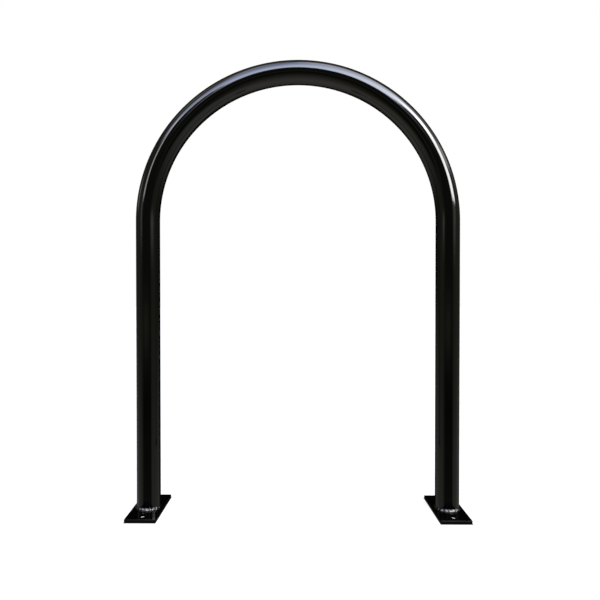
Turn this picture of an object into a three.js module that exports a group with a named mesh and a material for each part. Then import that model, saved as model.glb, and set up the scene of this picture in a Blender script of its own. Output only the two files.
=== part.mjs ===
// Hoop bike rack: one bent steel pipe standing on two flat foot plates.
// Millimetres, +Z up. The origin is on the floor, midway between the two feet.
// The hoop lies in the XZ plane, and the long side of each foot plate runs along Y.
// Left and right are as seen from the front, looking along +Y: left is -X.

import * as THREE from 'three';

// ---- driving dimensions, mm ---------------------------------------------------

const HEIGHT = 914.4; // floor to the top of the hoop, 36 in
const LEG_DISTANCE = 609.6; // between the centrelines of the two legs, 24 in
const BEND_RISE = 301.2; // centreline rise of the bend above the tops of the straight legs
const PIPE_OUTER_DIAMETER = 48.26; // 1-1/2 in pipe
const PIPE_WALL = 3.68; // schedule 40

const PLATE_WIDTH = 61; // along X
const PLATE_LENGTH = 150; // along Y
const PLATE_THICKNESS = 6;
const PLATE_CORNER_RADIUS = 1.5; // upright corners
const PLATE_EDGE_BREAK = 0.5; // deburred edges, also round the slots
const SLOT_WIDTH = 9.5; // anchor slots, one near each end of a plate
const SLOT_LENGTH = 22; // along the plate, over the round ends
const SLOT_END_DISTANCE = 24; // slot centre to the end of the plate

const WELD_LEG = 4; // fillet weld, along the plate and up the pipe
const WELD_CROWN = 0.5; // how far the face of the weld bulges past a straight fillet
const FIT_GAP = 0.3; // left between pieces that touch

// ---- mesh fineness ------------------------------------------------------------

const PIPE_SIDES = 32;
const BEND_STEPS = 40; // even, so that one section stands at the crown
const LEG_STEPS = 2;
const SLOT_SEGMENTS = 16; // facets of a slot's round end
const WELD_SEGMENTS = 48;

// ---- derived ------------------------------------------------------------------

const LEG_X = LEG_DISTANCE / 2;
const PIPE_RADIUS = PIPE_OUTER_DIAMETER / 2;
const BORE_RADIUS = PIPE_RADIUS - PIPE_WALL;
const PIPE_FOOT_Z = PLATE_THICKNESS + FIT_GAP;
const BEND_START_Z = HEIGHT - PIPE_RADIUS - BEND_RISE;

// ---- hoop ---------------------------------------------------------------------

// The pipe's centreline: up the left leg, over the bend, down the right leg.
// The bend rises a little less than half the distance between the legs.
class HoopCentreline extends THREE.Curve {
  stage(t) {
    return t * (BEND_STEPS + 2 * LEG_STEPS);
  }

  getPoint(t, target = new THREE.Vector3()) {
    const s = this.stage(t);
    const legHeight = BEND_START_Z - PIPE_FOOT_Z;
    if (s <= LEG_STEPS) {
      return target.set(-LEG_X, 0, PIPE_FOOT_Z + (legHeight * s) / LEG_STEPS);
    }
    if (s >= LEG_STEPS + BEND_STEPS) {
      const left = BEND_STEPS + 2 * LEG_STEPS - s;
      return target.set(LEG_X, 0, PIPE_FOOT_Z + (legHeight * left) / LEG_STEPS);
    }
    const a = Math.PI * (1 - (s - LEG_STEPS) / BEND_STEPS);
    return target.set(LEG_X * Math.cos(a), 0, BEND_START_Z + BEND_RISE * Math.sin(a));
  }

  getTangent(t, target = new THREE.Vector3()) {
    const s = this.stage(t);
    if (s <= LEG_STEPS + 1e-6) return target.set(0, 0, 1);
    if (s >= LEG_STEPS + BEND_STEPS - 1e-6) return target.set(0, 0, -1);
    const a = Math.PI * (1 - (s - LEG_STEPS) / BEND_STEPS);
    return target.set(LEG_X * Math.sin(a), 0, -BEND_RISE * Math.cos(a)).normalize();
  }

  // Sections are spaced by stage, few on the straight legs and many on the bend.
  getPointAt(u, target) {
    return this.getPoint(u, target);
  }

  getTangentAt(u, target) {
    return this.getTangent(u, target);
  }
}

function circlePath(path, radius, sides) {
  for (let i = 0; i < sides; i += 1) {
    const a = (2 * Math.PI * i) / sides;
    const x = radius * Math.cos(a);
    const y = radius * Math.sin(a);
    if (i === 0) path.moveTo(x, y);
    else path.lineTo(x, y);
  }
  path.closePath();
  return path;
}

// A hollow pipe, open at both feet.
function hoopGeometry() {
  const section = circlePath(new THREE.Shape(), PIPE_RADIUS, PIPE_SIDES);
  section.holes.push(circlePath(new THREE.Path(), BORE_RADIUS, PIPE_SIDES));
  return new THREE.ExtrudeGeometry(section, {
    steps: BEND_STEPS + 2 * LEG_STEPS,
    extrudePath: new HoopCentreline(),
    bevelEnabled: false,
  });
}

// ---- foot plates --------------------------------------------------------------

function plateOutline() {
  const w = PLATE_WIDTH / 2;
  const l = PLATE_LENGTH / 2;
  const r = PLATE_CORNER_RADIUS;
  const outline = new THREE.Shape();
  outline.moveTo(-w + r, -l);
  outline.lineTo(w - r, -l);
  outline.absarc(w - r, -l + r, r, -Math.PI / 2, 0, false);
  outline.lineTo(w, l - r);
  outline.absarc(w - r, l - r, r, 0, Math.PI / 2, false);
  outline.lineTo(-w + r, l);
  outline.absarc(-w + r, l - r, r, Math.PI / 2, Math.PI, false);
  outline.lineTo(-w, -l + r);
  outline.absarc(-w + r, -l + r, r, Math.PI, 1.5 * Math.PI, false);
  return outline;
}

// A slot with round ends, lengthwise on the plate's centreline, its middle at y.
function slotPath(y) {
  const path = new THREE.Path();
  const r = SLOT_WIDTH / 2;
  const l = SLOT_LENGTH / 2 - r;
  for (const end of [1, -1]) {
    for (let i = 0; i <= SLOT_SEGMENTS; i += 1) {
      const a = (Math.PI * i) / SLOT_SEGMENTS;
      const px = end * r * Math.cos(a);
      const py = y + end * (l + r * Math.sin(a));
      if (end === 1 && i === 0) path.moveTo(px, py);
      else path.lineTo(px, py);
    }
  }
  path.closePath();
  return path;
}

// A cut length of flat bar with two slots, standing on z = 0, all its edges broken.
function plateGeometry() {
  const section = plateOutline();
  for (const end of [-1, 1]) {
    section.holes.push(slotPath(end * (PLATE_LENGTH / 2 - SLOT_END_DISTANCE)));
  }
  const plate = new THREE.ExtrudeGeometry(section, {
    depth: PLATE_THICKNESS - 2 * PLATE_EDGE_BREAK,
    curveSegments: 3,
    bevelEnabled: true,
    bevelThickness: PLATE_EDGE_BREAK,
    bevelSize: PLATE_EDGE_BREAK,
    bevelOffset: -PLATE_EDGE_BREAK,
    bevelSegments: 1,
  });
  plate.translate(0, 0, PLATE_EDGE_BREAK);
  return plate;
}

// ---- weld beads ---------------------------------------------------------------

// A fillet all the way round the foot of the pipe, with a slightly full face.
function weldGeometry() {
  const r = PIPE_RADIUS + FIT_GAP;
  const z = PLATE_THICKNESS + FIT_GAP;
  const toe = 0.4; // height of the blunt toes
  const profile = [
    [r, z],
    [r + WELD_LEG, z],
    [r + WELD_LEG, z + toe],
  ];
  for (const f of [0.25, 0.5, 0.75]) {
    const bulge = WELD_CROWN * Math.sin(Math.PI * f) * Math.SQRT1_2;
    profile.push([
      r + toe + (WELD_LEG - toe) * (1 - f) + bulge,
      z + toe + (WELD_LEG - toe) * f + bulge,
    ]);
  }
  profile.push([r + toe, z + WELD_LEG], [r, z + WELD_LEG], [r, z]);
  const bead = new THREE.LatheGeometry(
    profile.map(([x, y]) => new THREE.Vector2(x, y)),
    WELD_SEGMENTS,
  );
  bead.rotateX(Math.PI / 2);
  return bead;
}

// ---- finish -------------------------------------------------------------------

// Black gloss powder coat over steel. The coat pools a little in the weld's ripples.
const coat = () => new THREE.MeshStandardMaterial({ color: 0x08080a, roughness: 0.16, metalness: 0 });
const weldCoat = () => new THREE.MeshStandardMaterial({ color: 0x09090b, roughness: 0.2, metalness: 0 });

// ---- assembly -----------------------------------------------------------------

function piece(name, geometry, material, x = 0) {
  const mesh = new THREE.Mesh(geometry, material);
  mesh.name = name;
  mesh.position.x = x;
  return mesh;
}

const rack = new THREE.Group();
rack.name = 'hoop_bike_rack';
rack.add(piece('hoop_tube', hoopGeometry(), coat()));
for (const [side, x] of [
  ['left', -LEG_X],
  ['right', LEG_X],
]) {
  rack.add(piece(`${side}_base_plate`, plateGeometry(), coat(), x));
  rack.add(piece(`${side}_weld_bead`, weldGeometry(), weldCoat(), x));
}

export default rack;
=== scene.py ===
"""Visual model of a hoop bike rack: one bent steel pipe welded to two slotted foot
plates, all under one coat of black gloss powder.  Metres, +Z up, origin on the
ground midway between the feet, hoop in the XZ plane, front towards -Y."""

import math

import bmesh
import bpy
import numpy as np
from mathutils import Matrix, Vector


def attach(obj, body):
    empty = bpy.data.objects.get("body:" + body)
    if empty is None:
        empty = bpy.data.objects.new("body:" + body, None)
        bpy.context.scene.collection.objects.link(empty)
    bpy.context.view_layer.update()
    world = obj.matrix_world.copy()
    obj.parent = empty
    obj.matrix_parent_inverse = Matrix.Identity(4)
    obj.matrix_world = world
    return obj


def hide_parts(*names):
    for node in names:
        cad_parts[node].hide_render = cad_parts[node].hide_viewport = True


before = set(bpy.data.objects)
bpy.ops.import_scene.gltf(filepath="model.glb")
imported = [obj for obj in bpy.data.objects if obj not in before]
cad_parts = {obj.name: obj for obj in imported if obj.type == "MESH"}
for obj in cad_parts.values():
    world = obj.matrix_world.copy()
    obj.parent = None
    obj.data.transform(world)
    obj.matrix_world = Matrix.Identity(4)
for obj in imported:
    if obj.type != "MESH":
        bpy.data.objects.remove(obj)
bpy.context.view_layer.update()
MM = 0.001

# ---- sizes, mm, the same as the construction --------------------------------------

HEIGHT = 914.4
LEG_X = 304.8
BEND_RISE = 301.2
PIPE_R = 24.13
PIPE_WALL = 3.68
PLATE_W = 61.0
PLATE_L = 150.0
PLATE_T = 6.0
PLATE_CORNER = 1.5
SLOT_W = 9.5
SLOT_L = 22.0  # over its round ends
SLOT_Y = PLATE_L / 2 - 24.0
WELD_SIZE = {"left": (3.4, 4.4), "right": (3.2, 4.0)}  # along the plate and up the pipe
WELD_FULL = 0.10  # how far its face bulges
WELD_RELIEF = 1.35  # height of its ripples
WELD_SCALLOP = 1.2  # how far its toes wander with the ripples
BEND_START_Z = HEIGHT - PIPE_R - BEND_RISE


# ---- small helpers ------------------------------------------------------------------


def wave(x, seed):
    """A smooth, repeatable wander between about -1 and 1 along x, in turns."""
    total = 0.0
    for k, (f, a) in enumerate(((1, 0.5), (2, 0.35), (3, 0.3), (5, 0.22), (8, 0.15))):
        total = total + a * np.sin(2 * math.pi * f * x + seed * (1.7 + 2.3 * k) + 1.3 * k * k)
    return total


def hashed(i, seed):
    """A repeatable number from 0 to 1 for each whole number."""
    v = np.sin(np.asarray(i, float) * 12.9898 + seed * 78.233) * 43758.5453
    return v - np.floor(v)


def mesh_object(name, verts, faces, material, smooth_angle=None):
    mesh = bpy.data.meshes.new(name)
    mesh.from_pydata([tuple(v) for v in np.asarray(verts, float) * MM], [], faces)
    bm = bmesh.new()
    bm.from_mesh(mesh)
    bmesh.ops.recalc_face_normals(bm, faces=bm.faces)
    bm.to_mesh(mesh)
    bm.free()
    mesh.validate()
    for p in mesh.polygons:
        p.use_smooth = True
    if smooth_angle is not None:
        mesh.set_sharp_from_angle(angle=math.radians(smooth_angle))
    mesh.materials.append(material)
    obj = bpy.data.objects.new(name, mesh)
    bpy.context.scene.collection.objects.link(obj)
    return obj


# ---- materials ----------------------------------------------------------------------


def new_material(name):
    mat = bpy.data.materials.new(name)
    mat.use_nodes = True
    mat.node_tree.nodes.clear()
    return mat, mat.node_tree


def powder_coat(name, peel=1.0, rough=(0.045, 0.08), base=(0.00008, 0.0002), ior=1.5, tint=(1, 1, 1)):
    """Black gloss powder coat: orange peel, a slow waviness, faint cloudiness in the
    gloss, and a few grains of dust caught in the film."""
    mat, nt = new_material(name)
    n, link = nt.nodes, nt.links
    out = n.new("ShaderNodeOutputMaterial")
    shader = n.new("ShaderNodeBsdfPrincipled")
    shader.inputs["Metallic"].default_value = 0.0
    shader.inputs["IOR"].default_value = ior
    shader.inputs["Specular Tint"].default_value = (*tint, 1)
    link.new(shader.outputs[0], out.inputs[0])
    coord = n.new("ShaderNodeTexCoord")

    def noise(scale, detail, roughness=0.5):
        t = n.new("ShaderNodeTexNoise")
        t.inputs["Scale"].default_value = scale
        t.inputs["Detail"].default_value = detail
        t.inputs["Roughness"].default_value = roughness
        link.new(coord.outputs["Object"], t.inputs["Vector"])
        return t

    def remap(source, lo, hi, to_lo, to_hi):
        m = n.new("ShaderNodeMapRange")
        m.inputs["From Min"].default_value = lo
        m.inputs["From Max"].default_value = hi
        m.inputs["To Min"].default_value = to_lo
        m.inputs["To Max"].default_value = to_hi
        link.new(source, m.inputs["Value"])
        return m.outputs[0]

    # colour: almost black, with slow cloudiness and rare dust grains
    cloud = noise(14.0, 3.0)
    ramp = n.new("ShaderNodeValToRGB")
    ramp.color_ramp.elements[0].position = 0.35
    ramp.color_ramp.elements[1].position = 0.68
    ramp.color_ramp.elements[0].color = (base[0], base[0], base[0] * 1.15, 1)
    ramp.color_ramp.elements[1].color = (base[1], base[1], base[1] * 1.1, 1)
    link.new(cloud.outputs["Fac"], ramp.inputs["Fac"])
    grains = n.new("ShaderNodeTexVoronoi")
    grains.inputs["Scale"].default_value = 170.0
    link.new(coord.outputs["Object"], grains.inputs["Vector"])
    grain = remap(grains.outputs["Distance"], 0.045, 0.02, 0.0, 1.0)
    mix = n.new("ShaderNodeMix")
    mix.data_type = "RGBA"
    mix.inputs["B"].default_value = (0.0012, 0.0012, 0.0011, 1)
    link.new(ramp.outputs["Color"], mix.inputs["A"])
    link.new(grain, mix.inputs["Factor"])
    link.new(mix.outputs["Result"], shader.inputs["Base Color"])

    # gloss: slightly uneven film
    film = noise(38.0, 4.0, 0.55)
    link.new(remap(film.outputs["Fac"], 0.3, 0.7, rough[0], rough[1]), shader.inputs["Roughness"])

    # relief: orange peel over a longer waviness, dust as tiny nibs
    peel_noise = noise(330.0, 2.0, 0.45)
    slow = noise(42.0, 1.0)
    b1 = n.new("ShaderNodeBump")
    b1.inputs["Strength"].default_value = 0.10 * peel
    b1.inputs["Distance"].default_value = 0.0002
    link.new(peel_noise.outputs["Fac"], b1.inputs["Height"])
    b2 = n.new("ShaderNodeBump")
    b2.inputs["Strength"].default_value = 0.10 * peel
    b2.inputs["Distance"].default_value = 0.0012
    link.new(slow.outputs["Fac"], b2.inputs["Height"])
    link.new(b1.outputs[0], b2.inputs["Normal"])
    b3 = n.new("ShaderNodeBump")
    b3.inputs["Strength"].default_value = 0.25
    b3.inputs["Distance"].default_value = 0.0001
    link.new(grain, b3.inputs["Height"])
    link.new(b2.outputs[0], b3.inputs["Normal"])
    link.new(b3.outputs[0], shader.inputs["Normal"])
    return mat


COAT_PIPE = powder_coat("black_coat_pipe")
COAT_EDGE = powder_coat("black_coat_plate_edge", peel=0.8, rough=(0.05, 0.09), tint=(1.0, 0.97, 0.82))
COAT_PLATE = powder_coat("black_coat_plate_face", peel=0.8, rough=(0.05, 0.09), ior=1.3)
COAT_WELD = powder_coat("black_coat_weld", peel=0.5, rough=(0.07, 0.12), tint=(1.0, 0.94, 0.87))


# ---- hoop pipe ------------------------------------------------------------------------


def hoop_pipe():
    """A hollow pipe swept up the left leg, over the bend and down the right leg."""
    foot = PLATE_T + 0.05
    leg = np.linspace(foot, BEND_START_Z, 25)[:-1]
    a = np.linspace(math.pi, 0.0, 241)
    centre = np.concatenate(
        [
            np.stack([-LEG_X + 0 * leg, 0 * leg, leg], 1),
            np.stack([LEG_X * np.cos(a), 0 * a, BEND_START_Z + BEND_RISE * np.sin(a)], 1),
            np.stack([LEG_X + 0 * leg, 0 * leg, leg[::-1]], 1),
        ]
    )
    # in-plane normal, pointing away from the hoop's middle
    bend_n = np.stack([BEND_RISE * np.cos(a), 0 * a, LEG_X * np.sin(a)], 1)
    bend_n /= np.linalg.norm(bend_n, axis=1, keepdims=True)
    left = np.tile([-1.0, 0, 0], (len(leg), 1))
    normal = np.concatenate([left, bend_n, -left])
    side = np.array([0.0, 1.0, 0.0])

    run = np.concatenate([[0], np.cumsum(np.linalg.norm(np.diff(centre, axis=0), axis=1))])
    sides = 96
    phi = 2 * math.pi * np.arange(sides) / sides
    rings_outer, rings_inner = [], []
    for i in range(len(centre)):
        # rolled pipe is never a perfect cylinder: a few hundredths of a millimetre
        s = run[i] / 1000.0
        dent = 0.02 * (1 + wave(s * 3.1, 1.0)) * (1 - np.cos(2 * phi + 2.0 * s)) / 2
        dent = dent + 0.012 * (1 + np.sin(3 * phi + 14.0 * s))
        spokes = np.cos(phi)[:, None] * normal[i] + np.sin(phi)[:, None] * side
        hold = np.clip((1 - np.cos(phi)) / 0.02, 0, 1)  # the outermost line stays true
        rings_outer.append(centre[i] + (PIPE_R - dent * hold)[:, None] * spokes)
        rings_inner.append(centre[i] + (PIPE_R - PIPE_WALL) * spokes)
    n = len(centre)
    verts = np.concatenate(rings_outer + rings_inner)
    base = n * sides
    faces = []
    for i in range(n - 1):
        for j in range(sides):
            k = (j + 1) % sides
            faces.append((i * sides + j, i * sides + k, (i + 1) * sides + k, (i + 1) * sides + j))
            faces.append(
                (base + i * sides + j, base + (i + 1) * sides + j, base + (i + 1) * sides + k, base + i * sides + k)
            )
    for i in (0, n - 1):
        for j in range(sides):
            k = (j + 1) % sides
            faces.append((i * sides + j, base + i * sides + j, base + i * sides + k, i * sides + k))
    return mesh_object("hoop_pipe", verts, faces, COAT_PIPE, smooth_angle=50)


# ---- foot plates ----------------------------------------------------------------------


def outline(width, length, corner, segments):
    points = []
    for cx, cy, start in (
        (width / 2 - corner, length / 2 - corner, 0),
        (-width / 2 + corner, length / 2 - corner, 90),
        (-width / 2 + corner, -length / 2 + corner, 180),
        (width / 2 - corner, -length / 2 + corner, 270),
    ):
        for i in range(segments + 1):
            t = math.radians(start + 90 * i / segments)
            points.append((cx + corner * math.cos(t), cy + corner * math.sin(t)))
    return points


def prism(name, points, z0, z1):
    n = len(points)
    verts = [(x, y, z0) for x, y in points] + [(x, y, z1) for x, y in points]
    faces = [tuple(range(n))[::-1], tuple(range(n, 2 * n))]
    faces += [(i, (i + 1) % n, n + (i + 1) % n, n + i) for i in range(n)]
    return mesh_object(name, verts, faces, COAT_PLATE)


def foot_plate(name, x):
    """A flat bar offcut, slotted near each end, with the coat rounding every edge."""
    plate = prism(name, outline(PLATE_W, PLATE_L, PLATE_CORNER, 6), 0.0, PLATE_T)
    cutters = []
    for end in (-1, 1):
        ring = [(px, end * SLOT_Y + py) for px, py in outline(SLOT_W, SLOT_L, SLOT_W / 2, 18)]
        cutter = prism(f"{name}_cut", ring, -5.0, PLATE_T + 5.0)
        cutters.append(cutter)
        cut = plate.modifiers.new("slot", "BOOLEAN")
        cut.operation = "DIFFERENCE"
        cut.solver = "EXACT"
        cut.object = cutter
    edge = plate.modifiers.new("edge", "BEVEL")
    edge.width = 0.55 * MM
    edge.segments = 4
    edge.limit_method = "ANGLE"
    edge.angle_limit = math.radians(50)
    edge.harden_normals = True
    dg = bpy.context.evaluated_depsgraph_get()
    made = bpy.data.meshes.new_from_object(plate.evaluated_get(dg))
    plate.modifiers.clear()
    old = plate.data
    plate.data = made
    bpy.data.meshes.remove(old)
    for cutter in cutters:
        data = cutter.data
        bpy.data.objects.remove(cutter)
        bpy.data.meshes.remove(data)
    made.name = name
    made.materials.append(COAT_EDGE)
    for face in made.polygons:
        if abs(face.normal.z) < 0.999 or face.area < 1e-4:
            face.material_index = 1
    made.transform(Matrix.Translation((x * MM, 0, 0)))
    return plate


# ---- weld beads -----------------------------------------------------------------------


def weld_bead(name, x, size, seed, start_turn):
    """A fillet weld all the way round, laid as a row of overlapping crescents."""
    around, across = 1080, 30
    turn = np.arange(around) / around
    length = 2 * math.pi * (PIPE_R + 2.0)
    count = 21  # crescents in one turn
    steps = 1 + 0.5 * (hashed(np.arange(count), seed) - 0.5)
    marks = np.concatenate([[0], np.cumsum(steps)])
    marks /= marks[-1]
    strength = 0.7 + 0.6 * hashed(np.arange(count), seed + 7)
    # laid flatter where the torch came round the right-hand side of the pipe
    middle = ((marks[:-1] + marks[1:]) / 2 + start_turn) % 1.0
    strength *= 1 - 0.6 * np.exp(-(((middle - 0.94) / 0.075) ** 2))

    s = np.linspace(0, 1, across)  # 0 at the plate's toe, 1 at the pipe's toe
    rows = []
    for i in range(around):
        t = (turn[i] - start_turn) % 1.0
        # each crescent bows forward in its middle
        p = (t - 0.3 * (1 - (2 * s - 1) ** 2) / count) % 1.0
        k = np.clip(np.searchsorted(marks, p, side="right") - 1, 0, count - 1)
        f = (p - marks[k]) / (marks[k + 1] - marks[k])
        # a rounded crest between two narrow notches, steeper on one side
        f = np.where(f < 0.36, 0.5 * f / 0.36, 0.5 + 0.5 * (f - 0.36) / 0.64)
        ridge = strength[k] * (np.abs(np.sin(math.pi * f)) ** 0.85 - 0.6)
        fine = 0.03 * np.sin(2 * math.pi * 4 * f + 2.2 * hashed(k, seed + 3))
        # the two toes wander with the crescents, and the bead swells at its start and end
        near_tie = math.exp(-((min(t, 1 - t) * length / 4.0) ** 2))
        foot = size[0] * (1 + 0.03 * wave(t, seed) + 0.05 * near_tie) + 0.55 * WELD_SCALLOP * ridge[0]
        rise = size[1] * (1 + 0.03 * wave(t, seed + 3) + 0.05 * near_tie) + 1.1 * WELD_SCALLOP * ridge[-1]
        u = PIPE_R + foot * (1 - s)
        z = PLATE_T + rise * s
        belly = np.sin(math.pi * s)
        full = WELD_FULL * belly**0.85 + (WELD_RELIEF * ridge + fine) * belly**0.6
        nx, nz = rise / math.hypot(foot, rise), foot / math.hypot(foot, rise)
        u = u + full * nx
        z = z + full * nz
        ang = 2 * math.pi * turn[i]
        rows.append(np.stack([x + u * math.cos(ang), u * math.sin(ang), z], 1))
    rows = np.stack(rows)  # around, across, 3
    # the root of the weld, buried a little in the pipe and the plate
    ang = 2 * math.pi * turn
    root_u, root_z = PIPE_R - 0.35, PLATE_T - 0.35
    toe_plate = rows[:, 0].copy()
    toe_plate[:, 2] = root_z
    toe_pipe = rows[:, -1].copy()
    toe_pipe[:, 0] = x + root_u * np.cos(ang)
    toe_pipe[:, 1] = root_u * np.sin(ang)
    root = np.stack([x + root_u * np.cos(ang), root_u * np.sin(ang), np.full(around, root_z)], 1)
    ring = np.concatenate([root[:, None], toe_plate[:, None], rows, toe_pipe[:, None]], 1)
    m = ring.shape[1]
    verts = ring.reshape(-1, 3)
    faces = []
    for i in range(around):
        j = (i + 1) % around
        for k in range(m):
            q = (k + 1) % m
            faces.append((i * m + k, j * m + k, j * m + q, i * m + q))
    return mesh_object(name, verts, faces, COAT_WELD, smooth_angle=75)


pipe = hoop_pipe()
plates = {side: foot_plate(f"{side}_foot_plate", x) for side, x in (("left", -LEG_X), ("right", LEG_X))}
welds = {
    "left": weld_bead("left_weld", -LEG_X, WELD_SIZE["left"], 2.0, 0.22),
    "right": weld_bead("right_weld", LEG_X, WELD_SIZE["right"], 5.0, 0.31),
}

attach(pipe, "root")
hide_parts("hoop_tube")
for side in ("left", "right"):
    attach(plates[side], "root")
    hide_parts(f"{side}_base_plate")
    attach(welds[side], "root")
    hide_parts(f"{side}_weld_bead")


# ---- floor ------------------------------------------------------------------------------


def floor():
    """Pale ground: white to the camera, with a thin painted contact shadow round the plates and
    painted shade at about half its light where it shows through the anchor slots.
    The gloss sees the studio's own ground instead, except down the anchor slots, where
    a black sheet paints the shade inside them."""
    mat, nt = new_material("pale_floor")
    n, link = nt.nodes, nt.links
    out = n.new("ShaderNodeOutputMaterial")
    coord = n.new("ShaderNodeTexCoord")
    split = n.new("ShaderNodeSeparateXYZ")
    link.new(coord.outputs["Object"], split.inputs[0])

    def do(op, a, b=0.0):
        m = n.new("ShaderNodeMath")
        m.operation = op
        for i, v in enumerate((a, b)):
            if isinstance(v, (int, float)):
                m.inputs[i].default_value = v
            else:
                link.new(v, m.inputs[i])
        return m.outputs[0]

    def ramp(v, lo, hi, to_lo, to_hi):
        m = n.new("ShaderNodeMapRange")
        m.interpolation_type = "SMOOTHSTEP"
        m.inputs["From Min"].default_value = lo
        m.inputs["From Max"].default_value = hi
        m.inputs["To Min"].default_value = to_lo
        m.inputs["To Max"].default_value = to_hi
        link.new(v, m.inputs["Value"])
        return m.outputs[0]

    # both feet are alike, so fold them onto each other
    u = do("SUBTRACT", do("ABSOLUTE", split.outputs[0]), LEG_X * MM)
    v = do("ABSOLUTE", split.outputs[1])
    du = do("MAXIMUM", do("SUBTRACT", do("ABSOLUTE", u), PLATE_W / 2 * MM), 0.0)
    dv = do("MAXIMUM", do("SUBTRACT", v, PLATE_L / 2 * MM), 0.0)
    # the painted contact shadow is squeezed across the plates, so it is widest at their ends
    du = do("MULTIPLY", du, 3.5)
    gap = do("SQRT", do("ADD", do("MULTIPLY", du, du), do("MULTIPLY", dv, dv)))
    along = do("MAXIMUM", do("SUBTRACT", do("ABSOLUTE", do("SUBTRACT", v, SLOT_Y * MM)), (SLOT_L - SLOT_W) / 2 * MM), 0.0)
    to_slot = do("SQRT", do("ADD", do("MULTIPLY", u, u), do("MULTIPLY", along, along)))
    in_slot = ramp(to_slot, 0.007, 0.009, 1.0, 0.0)
    # painted shade: the floor's light drops almost to nothing in a thin contact shadow round the plates, and to about
    # half where it shows through the anchor slots
    painted_shade = do("MAXIMUM", ramp(gap, 0.0011, 0.0039, 0.015, 1.0), do("MULTIPLY", in_slot, 0.56))

    # the floor's glow and its grey are both scaled by the painted shade
    glow = n.new("ShaderNodeEmission")
    glow.inputs["Color"].default_value = (1, 1, 1, 1)
    link.new(do("MULTIPLY", painted_shade, 0.80), glow.inputs["Strength"])
    lit = n.new("ShaderNodeBsdfDiffuse")
    grey = n.new("ShaderNodeCombineXYZ")
    for i in range(3):
        link.new(do("MULTIPLY", painted_shade, 0.14), grey.inputs[i])
    link.new(grey.outputs[0], lit.inputs["Color"])
    seen = n.new("ShaderNodeAddShader")
    link.new(glow.outputs[0], seen.inputs[0])
    link.new(lit.outputs[0], seen.inputs[1])
    # for other rays the floor is clear, except a black sheet under the anchor slots that paints the shade inside them
    clear = n.new("ShaderNodeBsdfTransparent")
    dark = n.new("ShaderNodeBsdfDiffuse")
    dark.inputs["Color"].default_value = (0, 0, 0, 1)
    unseen = n.new("ShaderNodeMixShader")
    link.new(in_slot, unseen.inputs[0])
    link.new(clear.outputs[0], unseen.inputs[1])
    link.new(dark.outputs[0], unseen.inputs[2])
    path = n.new("ShaderNodeLightPath")
    mix = n.new("ShaderNodeMixShader")
    link.new(path.outputs["Is Camera Ray"], mix.inputs[0])
    link.new(unseen.outputs[0], mix.inputs[1])
    link.new(seen.outputs[0], mix.inputs[2])
    link.new(mix.outputs[0], out.inputs[0])
    size = 30.0
    mesh = bpy.data.meshes.new("floor")
    mesh.from_pydata([(-size, -size, 0), (size, -size, 0), (size, size, 0), (-size, size, 0)], [], [(0, 1, 2, 3)])
    mesh.materials.append(mat)
    obj = bpy.data.objects.new("floor", mesh)
    bpy.context.scene.collection.objects.link(obj)
    obj.location.z = -0.0002
    return obj


floor()


# ---- studio -------------------------------------------------------------------------------


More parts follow.
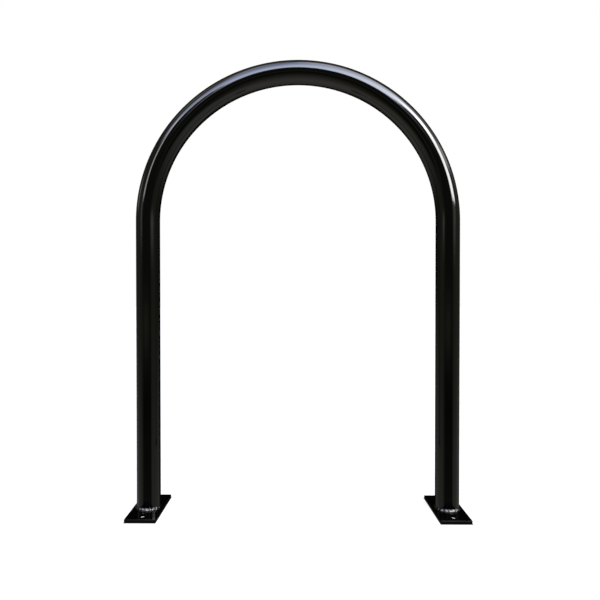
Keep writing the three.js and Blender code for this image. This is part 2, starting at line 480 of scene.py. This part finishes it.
def studio():
    """The studio as the gloss sees it: a broad cool softbox overhead and in front, a
    bright one to the right, a slim one to the left, a dark room behind them and a pale
    ground below.  Directions are azimuth (0 towards the front, plus to the right) and
    elevation, in degrees.  The camera itself sees plain white."""
    world = bpy.data.worlds.new("studio")
    bpy.context.scene.world = world
    world.use_nodes = True
    nt = world.node_tree
    n, link = nt.nodes, nt.links
    n.clear()

    def math_node(op, a, b=None, c=None):
        m = n.new("ShaderNodeMath")
        m.operation = op
        for i, v in enumerate((a, b, c)):
            if v is None:
                continue
            if isinstance(v, (int, float)):
                m.inputs[i].default_value = v
            else:
                link.new(v, m.inputs[i])
        return m.outputs[0]

    def add(*terms):
        total = terms[0]
        for t in terms[1:]:
            total = math_node("ADD", total, t)
        return total

    def mul(*terms):
        total = terms[0]
        for t in terms[1:]:
            total = math_node("MULTIPLY", total, t)
        return total

    def step(v, lo, hi):
        """0 below lo, 1 above hi, smooth between; falls instead if lo > hi."""
        m = n.new("ShaderNodeMapRange")
        m.interpolation_type = "SMOOTHSTEP"
        m.inputs["From Min"].default_value = min(lo, hi)
        m.inputs["From Max"].default_value = max(lo, hi)
        m.inputs["To Min"].default_value = 0.0 if lo < hi else 1.0
        m.inputs["To Max"].default_value = 1.0 if lo < hi else 0.0
        link.new(v, m.inputs["Value"])
        return m.outputs[0]

    def line(v, *points):
        """Straight lines through (value, result) points, held level outside them."""
        total = float(points[0][1])
        for (x0, y0), (x1, y1) in zip(points, points[1:]):
            m = n.new("ShaderNodeMapRange")
            m.inputs["From Min"].default_value = x0
            m.inputs["From Max"].default_value = x1
            m.inputs["To Min"].default_value = 0.0
            m.inputs["To Max"].default_value = y1 - y0
            link.new(v, m.inputs["Value"])
            total = math_node("ADD", m.outputs[0], total)
        return total

    def bell(v, centre, width):
        d = math_node("DIVIDE", math_node("SUBTRACT", v, centre), width)
        return math_node("EXPONENT", mul(mul(d, d), -0.5))

    coord = n.new("ShaderNodeTexCoord")
    xyz = n.new("ShaderNodeSeparateXYZ")
    link.new(coord.outputs["Generated"], xyz.inputs[0])
    x, y, z = xyz.outputs
    deg = 180 / math.pi
    az = mul(math_node("ARCTAN2", x, mul(y, -1.0)), deg)
    el = mul(math_node("ARCSINE", z), deg)

    # broad overhead softbox: strongest low and to the right, fading towards the zenith
    spread_l = math_node("ADD", az, line(el, (40, 1.0), (48, -5.0), (56, -10.0), (64, -5.0), (70, 14.0), (78, 30.0), (90, 45.0)))
    spread_r = math_node("SUBTRACT", az, mul(math_node("MAXIMUM", math_node("SUBTRACT", el, 50.0), 0.0), 1.2))
    low = add(
        mul(bell(az, 15.0, 5.5), 8.0),
        mul(bell(az, 5.5, 3.2), 3.0),
        mul(bell(az, -2.0, 6.0), 3.0),
        mul(bell(az, -9.0, 3.5), 4.5),
        mul(bell(az, -11.5, 2.5), 3.5),
        mul(bell(az, -24.0, 4.0), -1.3),
        el,
    )
    dome = mul(
        add(mul(bell(az, 38.0, 28.0), 12.0), 5.0),
        line(el, (38, 1.0), (50, 0.86), (60, 0.60), (70, 0.40), (80, 0.28), (90, 0.15)),
        math_node("ADD", mul(0.22, bell(az, -16.0, 9.0), bell(el, 40.0, 8.0)), 1.0),
        math_node("SUBTRACT", 1.0, mul(0.26, bell(az, 38.0, 22.0), bell(el, 63.0, 12.0))),
        step(low, 31.5, 37.0),
        step(spread_l, -75.0, -47.0),
        step(spread_r, 90.0, 66.0),
    )
    # what spills below the two side softboxes
    key = mul(0.65, bell(az, 52.0, 9.0), step(el, 2.0, 8.0), step(el, 18.0, 12.0))
    slim = mul(0.7, bell(az, -53.0, 5.5), step(el, 3.0, 8.0), step(el, 18.0, 12.0))
    blob = mul(0.9, step(el, 9.0, 14.0), step(el, 26.0, 18.0), step(az, -112.0, -103.0), step(az, -90.0, -98.0))

    # panels past the ends of the overhead light, and two faint lobes under its edge
    panels = add(
        mul(3.4, bell(az, 84.0, 9.0), step(el, 23.0, 28.0), step(el, 37.0, 32.0)),
        mul(0.75, bell(az, 103.0, 8.0), bell(el, 33.0, 9.0)),
        mul(0.8, bell(az, 96.0, 8.0), bell(el, 48.0, 5.0)),
        mul(0.45, bell(az, -98.0, 12.0), bell(el, 52.0, 6.0)),
        mul(1.9, bell(az, -11.0, 3.0), bell(el, 23.5, 3.2)),
        mul(1.6, bell(az, 16.0, 3.5), bell(el, 22.5, 2.5)),
    )

    # ground and room: pale underfoot, dark in front, lighter walls to both sides, a
    # faint glow on the horizon, dark behind
    front = line(
        el, (-88, 0.62), (-70, 0.52), (-50, 0.33), (-35, 0.17), (-25, 0.11), (-16, 0.06), (-10, 0.035), (-3, 0.07), (8, 0.07)
    )
    sides = line(el, (-88, 0.64), (-60, 0.58), (-30, 0.50), (-20, 0.38), (-14, 0.30), (-8, 0.22), (0, 0.19), (10, 0.20))
    turned = math_node("ABSOLUTE", az)
    side = math_node("MAXIMUM", step(az, -28.0, -62.0), step(az, 34.0, 46.0))
    side = mul(side, math_node("SUBTRACT", 1.0, step(turned, 118.0, 150.0)))
    ground = add(mul(front, math_node("SUBTRACT", 1.0, side)), mul(sides, side))
    ground = mul(ground, math_node("SUBTRACT", 1.0, mul(0.55, step(turned, 84.0, 112.0), step(el, -10.0, 2.0))))
    ground = mul(ground, line(el, (8, 1.0), (40, 0.8), (90, 6.0)))
    behind = mul(step(turned, 124.0, 148.0), step(el, -45.0, -22.0), step(el, 60.0, 35.0))
    ground = mul(ground, math_node("SUBTRACT", 1.0, mul(behind, 0.82)))
    ground = add(
        ground,
        mul(0.13, bell(el, -2.6, 2.0), bell(az, -8.0, 20.0)),
        mul(0.12, bell(az, -138.0, 9.0), step(el, 4.0, -4.0), step(el, -45.0, -22.0)),
        mul(0.15, step(turned, 105.0, 140.0), bell(el, 74.0, 5.0)),
    )

    neutral = add(key, slim, blob, panels)

    def tint(value, colour):
        m = n.new("ShaderNodeVectorMath")
        m.operation = "SCALE"
        m.inputs[0].default_value = colour
        link.new(value, m.inputs["Scale"])
        return m.outputs[0]

    def vadd(a, b):
        m = n.new("ShaderNodeVectorMath")
        m.operation = "ADD"
        link.new(a, m.inputs[0])
        link.new(b, m.inputs[1])
        return m.outputs[0]

    # the overhead light is cool to the left and nearly neutral to the right
    cool = n.new("ShaderNodeCombineXYZ")
    link.new(mul(dome, line(az, (-60, 0.96), (-25, 0.91), (0, 0.88), (30, 0.95), (60, 0.99))), cool.inputs[0])
    link.new(dome, cool.inputs[1])
    warmer = line(el, (36, 0.90), (50, 1.0), (70, 1.06))
    link.new(mul(dome, warmer, line(az, (-60, 1.45), (-20, 1.48), (0, 1.37), (30, 1.26), (60, 1.12))), cool.inputs[2])

    # the ground is a warm grey below and olive towards the horizon
    earth = n.new("ShaderNodeCombineXYZ")
    link.new(mul(ground, line(el, (-70, 1.08), (-45, 1.03), (-25, 0.97), (0, 0.97))), earth.inputs[0])
    link.new(ground, earth.inputs[1])
    blue = add(
        line(el, (-70, 0.97), (-50, 0.88), (-35, 0.74), (-12, 0.74), (5, 0.78)),
        mul(0.14, side, step(el, -60.0, -35.0), step(el, 0.0, -14.0)),
    )
    link.new(mul(ground, blue), earth.inputs[2])

    total = vadd(
        vadd(cool.outputs[0], tint(neutral, (1.0, 1.0, 1.0))),
        earth.outputs[0],
    )
    studio_light = n.new("ShaderNodeBackground")
    link.new(total, studio_light.inputs["Color"])
    studio_light.inputs["Strength"].default_value = 1.0
    white = n.new("ShaderNodeBackground")
    white.inputs["Color"].default_value = (1, 1, 1, 1)
    white.inputs["Strength"].default_value = 1.0
    path = n.new("ShaderNodeLightPath")
    mix = n.new("ShaderNodeMixShader")
    link.new(path.outputs["Is Camera Ray"], mix.inputs[0])
    link.new(studio_light.outputs[0], mix.inputs[1])
    link.new(white.outputs[0], mix.inputs[2])
    out = n.new("ShaderNodeOutputWorld")
    link.new(mix.outputs[0], out.inputs[0])


studio()


def softbox(name, anchor, distance, azimuth, half_width, el_low, el_high, strength, colour, soft):
    """A standing light: placed so that, from the anchor, it fills the given azimuths
    and elevations (degrees).  soft is how far it fades in from its left, right, lower
    and upper edges, as parts of its width and height."""
    az = math.radians(azimuth)
    away = Vector((math.sin(az), -math.cos(az), 0.0))
    centre = Vector(anchor) * MM + away * distance
    half = distance * math.tan(math.radians(half_width))
    z0 = distance * math.tan(math.radians(el_low))
    z1 = distance * math.tan(math.radians(el_high))
    mesh = bpy.data.meshes.new(name)
    mesh.from_pydata([(-half, 0, z0), (half, 0, z0), (half, 0, z1), (-half, 0, z1)], [], [(0, 1, 2, 3)])
    uv = mesh.uv_layers.new(name="UVMap")
    for loop, co in zip(uv.data, ((0, 0), (1, 0), (1, 1), (0, 1))):
        loop.uv = co
    obj = bpy.data.objects.new(name, mesh)
    bpy.context.scene.collection.objects.link(obj)
    obj.matrix_world = Matrix.Translation(centre) @ Matrix.Rotation(az, 4, "Z")
    mat, nt = new_material(name)
    n, link = nt.nodes, nt.links
    coord = n.new("ShaderNodeTexCoord")
    split = n.new("ShaderNodeSeparateXYZ")
    link.new(coord.outputs["UV"], split.inputs[0])
    value = None
    for axis, lo, hi in ((0, 0.0, soft[0]), (0, 1.0, 1.0 - soft[1]), (1, 0.0, soft[2]), (1, 1.0, 1.0 - soft[3])):
        m = n.new("ShaderNodeMapRange")
        m.interpolation_type = "SMOOTHSTEP"
        m.inputs["From Min"].default_value = min(lo, hi)
        m.inputs["From Max"].default_value = max(lo, hi)
        m.inputs["To Min"].default_value = 0.0 if lo < hi else 1.0
        m.inputs["To Max"].default_value = 1.0 if lo < hi else 0.0
        link.new(split.outputs[axis], m.inputs["Value"])
        if value is None:
            value = m.outputs[0]
        else:
            t = n.new("ShaderNodeMath")
            t.operation = "MULTIPLY"
            link.new(value, t.inputs[0])
            link.new(m.outputs[0], t.inputs[1])
            value = t.outputs[0]
    glow = n.new("ShaderNodeEmission")
    glow.inputs["Color"].default_value = (*colour, 1)
    gain = n.new("ShaderNodeMath")
    gain.operation = "MULTIPLY"
    gain.inputs[1].default_value = strength
    link.new(value, gain.inputs[0])
    link.new(gain.outputs[0], glow.inputs["Strength"])
    clear = n.new("ShaderNodeBsdfTransparent")
    both = n.new("ShaderNodeAddShader")
    link.new(glow.outputs[0], both.inputs[0])
    link.new(clear.outputs[0], both.inputs[1])
    out = n.new("ShaderNodeOutputMaterial")
    link.new(both.outputs[0], out.inputs[0])
    mesh.materials.append(mat)
    obj.visible_camera = False
    obj.visible_shadow = False
    return obj


# the bright one to the right and the slim one to the left, as the shoulders mirror them
softbox("key", (290, 0, 700), 3.2, 54.5, 17.0, 10.3, 52.0, 20.0, (1.0, 1.0, 1.0), (0.16, 0.30, 0.055, 0.42))
softbox("slim", (-290, 0, 700), 3.0, -44.0, 8.0, 10.0, 42.0, 5.4, (1.0, 1.0, 1.0), (0.28, 0.28, 0.10, 0.25))


# ---- camera: the photograph's own viewing angle ----------------------------------------------

CAM_POS = (-5.489, -1215.334, 431.638)  # mm
CAM_PITCH, CAM_YAW, CAM_ROLL = -0.726, 0.647, 0.013  # degrees
FOCAL_PX, AXIS_X, AXIS_Y = 596.377, 288.056, 306.429  # in the 600 pixel frame

cam_data = bpy.data.cameras.new("camera")
cam = bpy.data.objects.new("camera", cam_data)
bpy.context.scene.collection.objects.link(cam)
turned = (
    Matrix.Rotation(math.radians(CAM_YAW), 4, "Z")
    @ Matrix.Rotation(math.radians(CAM_PITCH), 4, "X")
    @ Matrix.Rotation(math.radians(CAM_ROLL), 4, "Y")
    @ Matrix.Rotation(math.radians(90), 4, "X")
)
cam.matrix_world = Matrix.Translation(Vector(CAM_POS) * MM) @ turned
cam_data.sensor_width = 36.0
cam_data.lens = FOCAL_PX / 600 * 36.0
cam_data.shift_x = (300 - AXIS_X) / 600
cam_data.shift_y = (AXIS_Y - 300) / 600
cam_data.clip_start = 0.02
cam_data.clip_end = 200.0
bpy.context.scene.camera = cam

view = bpy.context.scene.view_settings
view.view_transform = "Standard"
view.look = "None"
view.exposure = 0.0
view.gamma = 1.0
